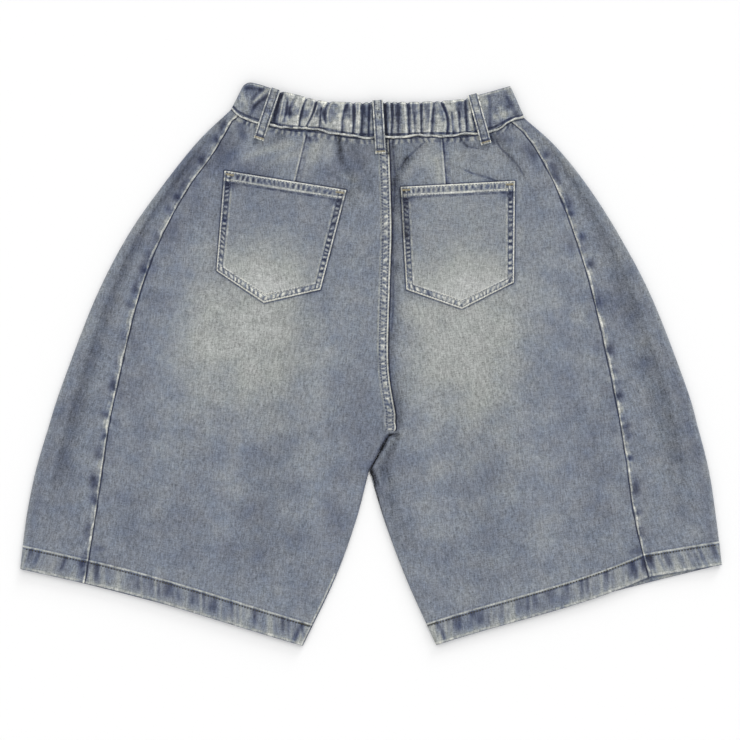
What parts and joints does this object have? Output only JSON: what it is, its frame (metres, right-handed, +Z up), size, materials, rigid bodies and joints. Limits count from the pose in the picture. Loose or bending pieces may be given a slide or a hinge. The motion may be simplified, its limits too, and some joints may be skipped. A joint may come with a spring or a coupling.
{
  "type": "denim shorts",
  "caption": "Wide barrel-leg denim shorts with an elasticated gathered back waist, back patch pockets and belt loops, laid flat with the back up.",
  "frame": {"origin": "on the surface the shorts lie on, under the middle of their laid outline", "axes": "+X towards the wearer's right across the legs, +Y from the hems to the waist, +Z up out of the surface towards the back of the shorts"},
  "size_m": [0.808, 0.6476, 0.0113],
  "materials": {
    "denim": "washed grey-blue denim twill",
    "band_denim": "washed grey-blue denim twill, darker in the gathers",
    "button_metal": "aged brushed metal"
  },
  "bodies": {
    "root": {"back_panel_left": "denim", "back_panel_right": "denim", "front_panel_left": "denim", "front_panel_right": "denim", "waistband_back": "band_denim", "waistband_front_left": "band_denim", "waistband_front_right": "band_denim", "back_pocket_left": "denim", "back_pocket_right": "denim", "belt_loop_back_left": "denim", "belt_loop_back_centre": "denim", "belt_loop_back_right": "denim", "belt_loop_front_left": "denim", "belt_loop_front_right": "denim", "waist_button": "button_metal"}
  },
  "joints": []
}
